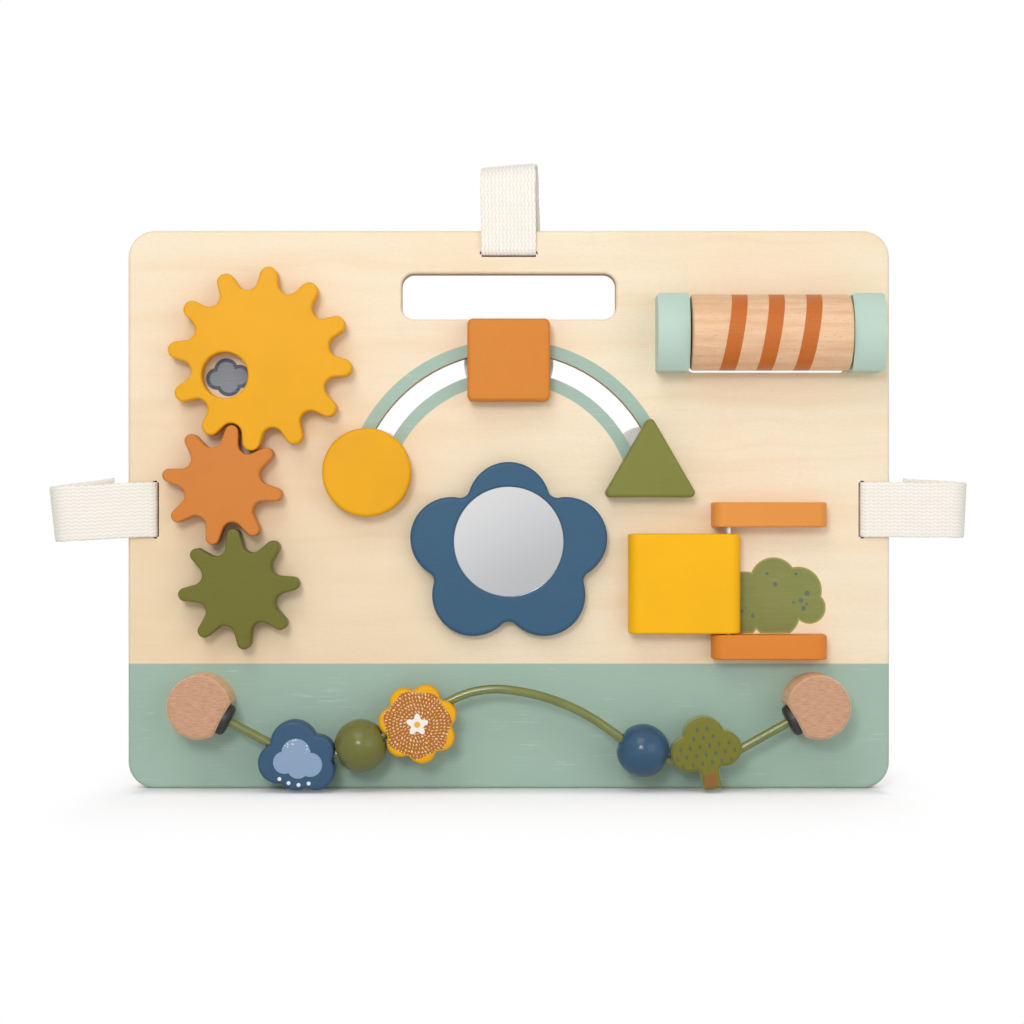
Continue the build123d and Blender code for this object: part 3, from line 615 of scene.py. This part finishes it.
def makeMirrorFinish():
    finish = Finish("acrylicMirror", Metallic=1.0, Coat_Weight=0.4, Coat_Roughness=0.05)
    ripple = finish.noise(finish.here(), 0.03, 1)
    low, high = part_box("mirror_disc")
    paintedReflection = (finish.x - low.x / mm) * 0.6 + (high.z / mm - finish.z) + ripple * 8  # painted reflection: darker towards the lower right
    finish.feed("Base Color", finish.mix(paintedReflection.rise(8, 92), hardware["mirror"], hardware["mirrorShade"]))
    finish.feed("Roughness", 0.05 + ripple * 0.02)
    finish.bump(ripple, 0.004)
    return finish


def makeWireFinish():
    finish = Finish("coatedWire", Roughness=0.24, Coat_Weight=0.6, Coat_Roughness=0.12)
    broad = finish.noise(finish.here(), 0.09, 2)
    pits = finish.noise(finish.here(), 1.4, 2, 0.6)
    shade = finish.mix(broad.rise(0.35, 0.7) * 0.5, hardware["wire"], hardware["wireDeep"])
    finish.feed("Base Color", shade)
    finish.feed("Roughness", 0.2 + pits * 0.06)
    finish.bump(pits, 0.004)
    return finish


def makeGrommetFinish():
    finish = Finish("blackGrommet")
    pits = finish.noise(finish.here(), 1.8, 2, 0.6)
    shade = finish.mix(pits.rise(0.55, 0.8) * 0.6, hardware["grommet"], hardware["grommetWorn"])
    finish.feed("Base Color", shade)
    finish.feed("Roughness", 0.36 + pits * 0.16)
    finish.bump(pits, 0.02)
    return finish


def makeDiscFinish():
    finish = Finish("whiteDisc")
    haze = finish.noise(finish.here(), 0.2, 3, 0.6)
    scratches = finish.noise(finish.point(finish.x * 0.4, finish.y, finish.z * 3), 1, 2, 0.6)
    finish.feed("Base Color", finish.mix(haze.rise(0.4, 0.75), hardware["disc"], hardware["discHaze"]))
    finish.feed("Roughness", 0.4 + scratches * 0.14)
    finish.bump(scratches, 0.015)
    return finish


steelNames = [name for name in nodes if name.endswith(("_screw", "_screws", "_washer"))]
discNames = [name for name in nodes if name.endswith("_knob_disc")]
giveFinish(makeSteelFinish(), "hinge_pin", "roller_axle", *steelNames)
giveFinish(makeMirrorFinish(), "mirror_disc")
giveFinish(makeWireFinish(), "bead_wire")
giveFinish(makeGrommetFinish(), "grommet_left", "grommet_right")
giveFinish(makeDiscFinish(), *discNames)
print("hardware finished")


# straps: cotton webbing loops through the board's slots, closed behind by hook and loop

webbing = {
    "width": 28.8,
    "thickness": 2.0,
    "column": 28.8 / 15,
    "pitch": 1.8,
    "zigzag": 4.2,
    "swing": 0.42,
    "ridgePower": 0.7,
    "cordShare": 0.3,
    "relief": 0.14,
    "samples": 4,
    "face": 7.3,  # depth of the layer on the board, in front and behind
    "returnFace": 10.9,  # depth of the layer that comes back behind it
    "bend": 1.8,
    "uvSpan": 100,
    "overlap": 19.0,
    "endGap": 2.0,
    "cotton": paint(245, 241, 232),
    "cottonShade": paint(238, 232, 219),
    # painted shade: the weave's grooves darker than its ridges
    "grooveShade": paint(230, 222, 207),
    "patchWidth": 24.0,
    "patchMargin": 1.0,
    "patchThickness": 0.8,
    "patchRagged": 0.22,
    "patchSeam": 0.35,
    "patchRim": 0.97,
    "patchBevel": 0.3,
    "patchColour": paint(238, 233, 220),
    "threadColour": paint(250, 247, 239),
    "threadRadius": 0.24,
    "stitchLength": 2.6,
    "stitchGap": 0.7,
    "stitchInset": 2.2,
    "stitchEdge": 3.0,
    "stitchSink": 0.1,
    "closedShare": 0.98,  # pads and stitches lie on the webbing's last part
    "smoothAngle": 50,
}

drape = {  # how the loops waver and bulge between the slot and the fold
    "slackStart": 6,
    "wobble": 0.25,
    "wobblePace": 0.21,
    "bowStart": -2,
    "bowDepth": 5,
    "crown": 0.25,
}

strapPlaces = {
    "top": {"slot": (0, 281), "outward": (0, 1), "reach": 47.4, "tail": 6.0,
            "lean": -0.6, "tilt": 0.09, "backShift": 1.7, "backTurn": 0.02, "bow": 0.9},
    "left": {"slot": (-185.5, 146.5), "outward": (-1, 0), "reach": 55.8, "tail": 0.0,
             "lean": -3.0, "tilt": 0.115, "backShift": 0.5, "backTurn": 0.1, "bow": 1.1},
    "right": {"slot": (185.5, 146.5), "outward": (1, 0), "reach": 55.8, "tail": 0.0,
              "lean": -0.4, "tilt": 0.05, "backShift": 0.3, "backTurn": 0.07, "bow": 1.0},
}

foldRadius = (webbing["face"] + webbing["returnFace"]) / 2


def foldStartOf(facts):  # how far out the loop begins to turn back
    return facts["reach"] - webbing["thickness"] / 2 - foldRadius


def innerEndOf(facts):  # how far out the layer on the board's back ends
    return foldStartOf(facts) - webbing["endGap"]


def strapLine(facts):  # the centre line as (out from the slot, depth), from the inner end to the outer
    innerEnd = innerEndOf(facts)
    foldStart = foldStartOf(facts)
    face = webbing["face"]
    bend = webbing["bend"]
    foldMiddle = -face + foldRadius
    step = webbing["pitch"] / webbing["samples"]
    line = []

    def straight(start, end):
        count = max(1, round(math.dist(start, end) / step))
        for i in range(count):
            share = i / count
            line.append(tuple(a + (b - a) * share for a, b in zip(start, end)))

    def arc(middle, radius, fromAngle, toAngle):
        count = max(4, round(abs(math.radians(toAngle - fromAngle)) * radius / step))
        for i in range(count):
            angle = math.radians(fromAngle + (toAngle - fromAngle) * i / count)
            line.append((middle[0] + radius * math.cos(angle), middle[1] + radius * math.sin(angle)))

    straight((innerEnd, face), (bend, face))
    arc((bend, face - bend), bend, 90, 180)
    straight((0, face - bend), (0, -face + bend))
    arc((bend, -face + bend), bend, 180, 270)
    straight((bend, -face), (foldStart, -face))
    arc((foldStart, foldMiddle), foldRadius, -90, 90)
    freeEnd = (innerEnd - webbing["overlap"] - facts["tail"], webbing["returnFace"])
    straight((foldStart, webbing["returnFace"]), freeEnd)
    line.append(freeEnd)
    return line


def between(value):  # kept within 0 to 1
    return min(1.0, max(0.0, value))


def placeOnStrap(facts, out, depth, side, share):  # share runs 0 to 1 along the webbing
    alongX, alongZ = facts["outward"]
    acrossX, acrossZ = abs(alongZ), abs(alongX)
    reached = between(out / facts["reach"])
    slack = max(0.0, out - drape["slackStart"]) / facts["reach"]
    turned = between((depth + webbing["face"]) / (webbing["face"] + webbing["returnFace"]))
    behind = turned ** 2 * (3 - 2 * turned) if share > 0.5 else 0.0
    ahead = between((drape["bowStart"] - depth) / drape["bowDepth"])
    backShift = facts["backShift"] + facts["backTurn"] * (facts["reach"] - out)
    shift = facts["lean"] * slack + backShift * behind
    shift += drape["wobble"] * math.sin(out * drape["wobblePace"] + depth) * slack
    bulge = facts["bow"] * math.sin(math.pi * reached) * ahead
    depth -= bulge * (1 - drape["crown"] * (2 * side / webbing["width"]) ** 2)
    out += facts["tilt"] * side * reached ** 3
    sideways = side + shift
    x = facts["slot"][0] + alongX * out + acrossX * sideways
    z = facts["slot"][1] + alongZ * out + acrossZ * sideways
    return Vector((x, depth, z))


def weaveHeight(along, across):  # rows of cords that zigzag along the webbing
    swing = (abs(along / webbing["zigzag"] % 1 - 0.5) * 4 - 1) * webbing["swing"]
    ridge = abs(math.sin(math.pi * (across + swing) / webbing["column"])) ** webbing["ridgePower"]
    cord = math.cos(math.tau * along / (webbing["zigzag"] / 2))
    return ridge * (1 - webbing["cordShare"] + webbing["cordShare"] * cord)


def makeStrapMesh(name, facts):
    line = strapLine(facts)
    columns = round(webbing["width"] / webbing["column"]) * webbing["samples"]
    half = webbing["thickness"] / 2
    travelled = [0.0]
    for a, b in zip(line, line[1:]):
        travelled.append(travelled[-1] + math.dist(a, b))
    length = travelled[-1]
    rings = []
    for i, (out, depth) in enumerate(line):
        before = line[max(0, i - 1)]
        after = line[min(len(line) - 1, i + 1)]
        direction = Vector((after[0] - before[0], after[1] - before[1])).normalized()
        normal = Vector((direction.y, -direction.x))
        share = travelled[i] / length
        upper = []
        lower = []
        for j in range(columns + 1):
            acrossShare = j / columns
            side = (acrossShare - 0.5) * webbing["width"]
            selvedge = min(1.0, min(acrossShare, 1 - acrossShare) * columns / 2.5)
            lift = weaveHeight(travelled[i], acrossShare * webbing["width"]) * webbing["relief"]
            rounded = 0.45 + 0.55 * math.sin(selvedge * math.pi / 2)  # thinner at the edges
            thick = (half - webbing["relief"]) * rounded + lift
            upper.append(placeOnStrap(facts, out + normal.x * thick, depth + normal.y * thick, side, share))
            lower.append(placeOnStrap(facts, out - normal.x * thick, depth - normal.y * thick, side, share))
        rings.append(upper + lower[::-1])
    around = len(rings[0])
    verts = [point * mm for ring in rings for point in ring]
    faces = []
    for i in range(len(rings) - 1):
        for j in range(around):
            k = (j + 1) % around
            faces.append((i * around + j, i * around + k, (i + 1) * around + k, (i + 1) * around + j))
    last = (len(rings) - 1) * around
    for j in range(columns):
        faces.append((j + 1, j, around - 1 - j, around - 2 - j))
        faces.append((last + j, last + j + 1, last + around - 2 - j, last + around - 1 - j))
    mesh = bpy.data.meshes.new(name)
    mesh.from_pydata(verts, [], faces)
    uvs = mesh.uv_layers.new(name="UVMap")
    for polygon in mesh.polygons:
        for loop in polygon.loop_indices:
            vertex = mesh.loops[loop].vertex_index
            i, j = divmod(vertex, around)
            j = j if j <= columns else around - 1 - j
            across = j / columns * webbing["width"]
            uvs.data[loop].uv = (travelled[i] / webbing["uvSpan"], across / webbing["uvSpan"])
    piece = bpy.data.objects.new(name, mesh)
    bpy.context.scene.collection.objects.link(piece)
    return piece, length


def smoothOutwards(piece, angle):  # faces outwards, and smooth where they meet at less than the angle
    bpy.ops.object.select_all(action="DESELECT")
    piece.select_set(True)
    bpy.context.view_layer.objects.active = piece
    bpy.ops.object.mode_set(mode="EDIT")
    bpy.ops.mesh.select_all(action="SELECT")
    bpy.ops.mesh.normals_make_consistent(inside=False)
    bpy.ops.object.mode_set(mode="OBJECT")
    bpy.ops.object.shade_smooth_by_angle(angle=math.radians(angle))


def makeWebbingFinish():
    finish = Finish("cottonWebbing", Roughness=0.85, Sheen_Weight=0.25, Sheen_Roughness=0.5)
    flat = finish.node("ShaderNodeTexCoord", output="UV")
    along = finish.split(flat, "X") * webbing["uvSpan"]
    across = finish.split(flat, "Y") * webbing["uvSpan"]
    swing = (((along / webbing["zigzag"]).wrap(1) - 0.5).size() * 4 - 1) * webbing["swing"]
    ridge = ((across + swing) * (math.pi / webbing["column"])).sine().size()
    cords = (along * (4 * math.pi / webbing["zigzag"])).sine() * 0.5 + 0.5
    yarns = finish.noise(finish.point(along * 3.2, across * 9, 0.0), 1, 2, 0.6)
    fuzz = finish.noise(finish.point(along * 14, across * 14, 0.0), 1, 2, 0.6)
    broad = finish.noise(finish.point(along * 0.08, across * 0.12, 0.0), 1, 2)
    high = ridge * (0.6 + cords * 0.4)
    # painted shade: the weave's grooves darker than its ridges
    colour = finish.mix(high.rise(0.02, 0.7), webbing["grooveShade"], webbing["cotton"])
    colour = finish.mix(yarns.rise(0.5, 0.8) * 0.35, colour, webbing["cottonShade"])
    colour = finish.mix(broad.rise(0.4, 0.75) * 0.3, colour, webbing["cottonShade"])
    finish.feed("Base Color", colour)
    finish.feed("Roughness", 0.82 + fuzz * 0.12)
    finish.bump(high + yarns * 0.4 + fuzz * 0.3, 0.1)
    return finish


def makePatchFinish():
    finish = Finish("hookAndLoop", Roughness=0.95, Sheen_Weight=0.4)
    tufts = finish.cells(finish.here(), 1.6)
    fuzz = finish.noise(finish.here(), 3.2, 3, 0.7)
    shade = finish.mix(tufts.rise(0.2, 0.7), webbing["patchColour"], webbing["cottonShade"])
    finish.feed("Base Color", shade)
    finish.feed("Roughness", 0.88 + fuzz * 0.1)
    finish.bump(fuzz - tufts, 0.2)
    return finish


def makeThreadFinish():
    finish = Finish("cottonThread", Roughness=0.7, Sheen_Weight=0.2)
    twist = finish.noise(finish.here(), 6, 2, 0.6)
    shade = finish.mix(twist.rise(0.4, 0.7), webbing["threadColour"], webbing["cottonShade"])
    finish.feed("Base Color", shade)
    finish.feed("Roughness", 0.66 + twist * 0.16)
    finish.bump(twist, 0.05)
    return finish


def stitchRun(start, end):  # middles and directions of the stitches along one seam, in (out, across)
    length = math.dist(start, end)
    pitch = webbing["stitchLength"] + webbing["stitchGap"]
    count = max(1, int(length // pitch))
    direction = ((end[0] - start[0]) / length, (end[1] - start[1]) / length)
    for i in range(count):
        middle = (i + 0.5) * length / count
        yield (start[0] + direction[0] * middle, start[1] + direction[1] * middle), direction


def makeStitches(name, facts):  # a box with a cross, on the back of the overlap
    outer = innerEndOf(facts) - webbing["stitchInset"]
    inner = innerEndOf(facts) - webbing["overlap"] + webbing["stitchInset"]
    wide = webbing["width"] / 2 - webbing["stitchEdge"]
    seams = [((inner, -wide), (outer, -wide)), ((inner, wide), (outer, wide)),
             ((inner, -wide), (inner, wide)), ((outer, -wide), (outer, wide)),
             ((inner, -wide), (outer, wide)), ((inner, wide), (outer, -wide))]
    bpy.ops.object.select_all(action="DESELECT")
    bpy.ops.mesh.primitive_uv_sphere_add(segments=6, ring_count=4, radius=1, location=(0, 0, 0))
    pattern = bpy.context.object
    shape = [vertex.co.copy() for vertex in pattern.data.vertices]
    shapeFaces = [tuple(polygon.vertices) for polygon in pattern.data.polygons]
    bpy.data.objects.remove(pattern)
    surface = webbing["returnFace"] + webbing["thickness"] / 2 - webbing["stitchSink"]
    verts = []
    faces = []
    for start, end in seams:
        for (out, side), direction in stitchRun(start, end):
            first = len(verts)
            for point in shape:
                along = point.z * webbing["stitchLength"] / 2
                sideways = point.x * webbing["threadRadius"]
                overOut = out + direction[0] * along - direction[1] * sideways
                overSide = side + direction[1] * along + direction[0] * sideways
                depth = surface + point.y * webbing["threadRadius"]
                verts.append(placeOnStrap(facts, overOut, depth, overSide, webbing["closedShare"]) * mm)
            faces += [tuple(index + first for index in face) for face in shapeFaces]
    mesh = bpy.data.meshes.new(name)
    mesh.from_pydata(verts, [], faces)
    piece = bpy.data.objects.new(name, mesh)
    bpy.context.scene.collection.objects.link(piece)
    return piece


def makePatch(name, facts):  # the two mated pads between the webbing's layers
    outer = innerEndOf(facts) - webbing["patchMargin"]
    inner = innerEndOf(facts) - webbing["overlap"] + webbing["patchMargin"]
    middle = (webbing["face"] + webbing["returnFace"]) / 2
    rim = webbing["patchRim"]
    bpy.ops.object.select_all(action="DESELECT")
    bpy.ops.mesh.primitive_cube_add(size=1, location=(0, 0, 0))
    pad = bpy.context.object
    pad.scale = (outer - inner, 2 * webbing["patchThickness"], webbing["patchWidth"])
    pad.location = ((outer + inner) / 2, middle, 0)
    bpy.ops.object.transform_apply(location=True, rotation=False, scale=True)
    bpy.ops.object.mode_set(mode="EDIT")
    bpy.ops.mesh.select_all(action="SELECT")
    bpy.ops.mesh.bevel(offset=webbing["patchBevel"], segments=2)
    bpy.ops.mesh.select_all(action="SELECT")
    bpy.ops.mesh.subdivide(number_cuts=9)
    bpy.ops.object.mode_set(mode="OBJECT")
    for vertex in pad.data.vertices:
        out, depth, side = vertex.co
        ragged = webbing["patchRagged"] * math.sin(out * 5.1 + side * 3.3) * math.cos(side * 6.7 + depth * 9)
        seam = webbing["patchSeam"] * math.exp(-((depth - middle) / 0.25) ** 2)  # where the two pads meet
        overOut = (out - (outer + inner) / 2) / ((outer - inner) / 2)
        overSide = side / (webbing["patchWidth"] / 2)
        if abs(overOut) > rim:
            out += (ragged - seam) * math.copysign(1, overOut)
        if abs(overSide) > rim:
            side += (ragged - seam) * math.copysign(1, overSide)
        vertex.co = placeOnStrap(facts, out, depth, side, webbing["closedShare"]) * mm
    pad.name = name
    return pad


webbingFinish = makeWebbingFinish()
patchFinish = makePatchFinish()
threadFinish = makeThreadFinish()
for side, facts in strapPlaces.items():
    strap, length = makeStrapMesh("webbing_" + side, facts)
    stitches = makeStitches("stitching_" + side, facts)
    pad = makePatch("closure_" + side, facts)
    for piece, finish in [(strap, webbingFinish), (stitches, threadFinish), (pad, patchFinish)]:
        piece.data.materials.append(finish.material)
        smoothOutwards(piece, webbing["smoothAngle"])
        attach(piece, "board")
    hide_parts("strap_" + side)
    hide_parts("strap_" + side + "_patch")
    webbing["width"] * mm
    print("strap", side, "length", round(length, 1), "mm")


# studio: pale floor, white surround, a key lamp nearly in front, and soft lamps above, beside and behind

studio = {
    "floorSize": 6.0,
    "floorTone": paint(234, 236, 239),
    "floorGlow": 0.31,
    "sideStart": 186,  # beyond the board's sides the floor clears faster
    "sideFade": 4.5,
    "clearAt": (8, 220),
    "glowAt": (5, 40),
    "glowBeside": (0, 60),
    "worldStrength": 0.45,
    "lamps": {
        "key_lamp": {"place": (-0.26, -1.62, 0.62), "size": 0.4, "power": 6.5},
        "top_lamp": {"place": (-0.35, -1.25, 1.5), "size": 0.9, "power": 7.0},
        "spark_lamp": {"place": (-0.3, -1.35, 0.5), "size": 0.14, "power": 1.1},
        "fill_lamp": {"place": (1.05, -1.35, 0.4), "size": 1.2, "power": 5.8},
        "back_lamp": {"place": (0.5, 1.7, 1.0), "size": 1.0, "power": 9.0},
    },
    "aim": (0, 0, 0.15),
    "cameraPlace": (0.001707, -1.156, 0.14524),
    "cameraLens": 76.96,
    "cameraSensor": 36,
}


def lookAt(place, target):
    return (Vector(target) - Vector(place)).to_track_quat("-Z", "Y").to_euler()


def addLamp(name, facts):
    data = bpy.data.lights.new(name, "AREA")
    data.shape = "SQUARE"
    data.size = facts["size"]
    data.energy = facts["power"]
    lamp = bpy.data.objects.new(name, data)
    lamp.location = facts["place"]
    lamp.rotation_euler = lookAt(facts["place"], studio["aim"])
    bpy.context.scene.collection.objects.link(lamp)


def seenDirectly(tree):  # 1 for camera, glossy and transmission rays
    rays = tree.nodes.new("ShaderNodeLightPath")
    total = rays.outputs["Is Camera Ray"]
    for name in ("Is Glossy Ray", "Is Transmission Ray"):
        more = tree.nodes.new("ShaderNodeMath")
        more.operation = "MAXIMUM"
        tree.links.new(total, more.inputs[0])
        tree.links.new(rays.outputs[name], more.inputs[1])
        total = more.outputs[0]
    return total


def blend(tree, share, first, second):  # the first shader at share 0, the second at 1
    made = tree.nodes.new("ShaderNodeMixShader")
    for index, socket in enumerate((share, first, second)):
        tree.links.new(socket, made.inputs[index])
    return made.outputs[0]


def makeFloor():
    bpy.ops.object.select_all(action="DESELECT")
    bpy.ops.mesh.primitive_plane_add(size=studio["floorSize"], location=(0, 0, 0))
    floor = bpy.context.object
    floor.name = "studio_floor"
    surface = Finish("studioFloor", Roughness=0.9)
    surface.shader.inputs["Base Color"].default_value = studio["floorTone"]
    surface.shader.inputs["Specular IOR Level"].default_value = 0.0
    beside = (surface.x.size() - studio["sideStart"]).most(0) * studio["sideFade"]
    clear = (beside * beside + surface.y * surface.y).root().rise(*studio["clearAt"])
    away = surface.y.size().rise(*studio["glowAt"]).most(beside.rise(*studio["glowBeside"]))
    tree = surface.tree
    plain = surface.shader.outputs[0]
    glow = tree.nodes.new("ShaderNodeEmission")
    glow.inputs["Strength"].default_value = studio["floorGlow"]
    both = tree.nodes.new("ShaderNodeAddShader")
    tree.links.new(plain, both.inputs[0])
    tree.links.new(glow.outputs[0], both.inputs[1])
    lifted = blend(tree, away.socket, plain, both.outputs[0])  # painted light: the floor glows, but not right by the board's foot, which stays darker as painted shade
    white = tree.nodes.new("ShaderNodeEmission")
    cleared = blend(tree, clear.socket, lifted, white.outputs[0])
    seen = blend(tree, seenDirectly(tree), plain, cleared)
    tree.links.new(seen, tree.nodes["Material Output"].inputs["Surface"])
    floor.data.materials.append(surface.material)


def makeWorld():
    world = bpy.data.worlds.new("studioWorld")
    bpy.context.scene.world = world
    world.use_nodes = True
    tree = world.node_tree
    light = tree.nodes["Background"]
    light.inputs["Color"].default_value = (1, 1, 1, 1)
    light.inputs["Strength"].default_value = studio["worldStrength"]
    white = tree.nodes.new("ShaderNodeBackground")
    white.inputs["Color"].default_value = (1, 1, 1, 1)
    white.inputs["Strength"].default_value = 1.0
    seen = blend(tree, seenDirectly(tree), light.outputs[0], white.outputs[0])
    tree.links.new(seen, tree.nodes["World Output"].inputs["Surface"])


makeFloor()
makeWorld()
for name, facts in studio["lamps"].items():
    addLamp(name, facts)

cameraData = bpy.data.cameras.new("front_camera")
cameraData.sensor_width = studio["cameraSensor"]
cameraData.lens = studio["cameraLens"]
camera = bpy.data.objects.new("front_camera", cameraData)
camera.location = studio["cameraPlace"]
camera.rotation_euler = (math.radians(90), 0, 0)
bpy.context.scene.collection.objects.link(camera)
bpy.context.scene.camera = camera
bpy.context.scene.view_settings.view_transform = "Standard"
print("studio ready")
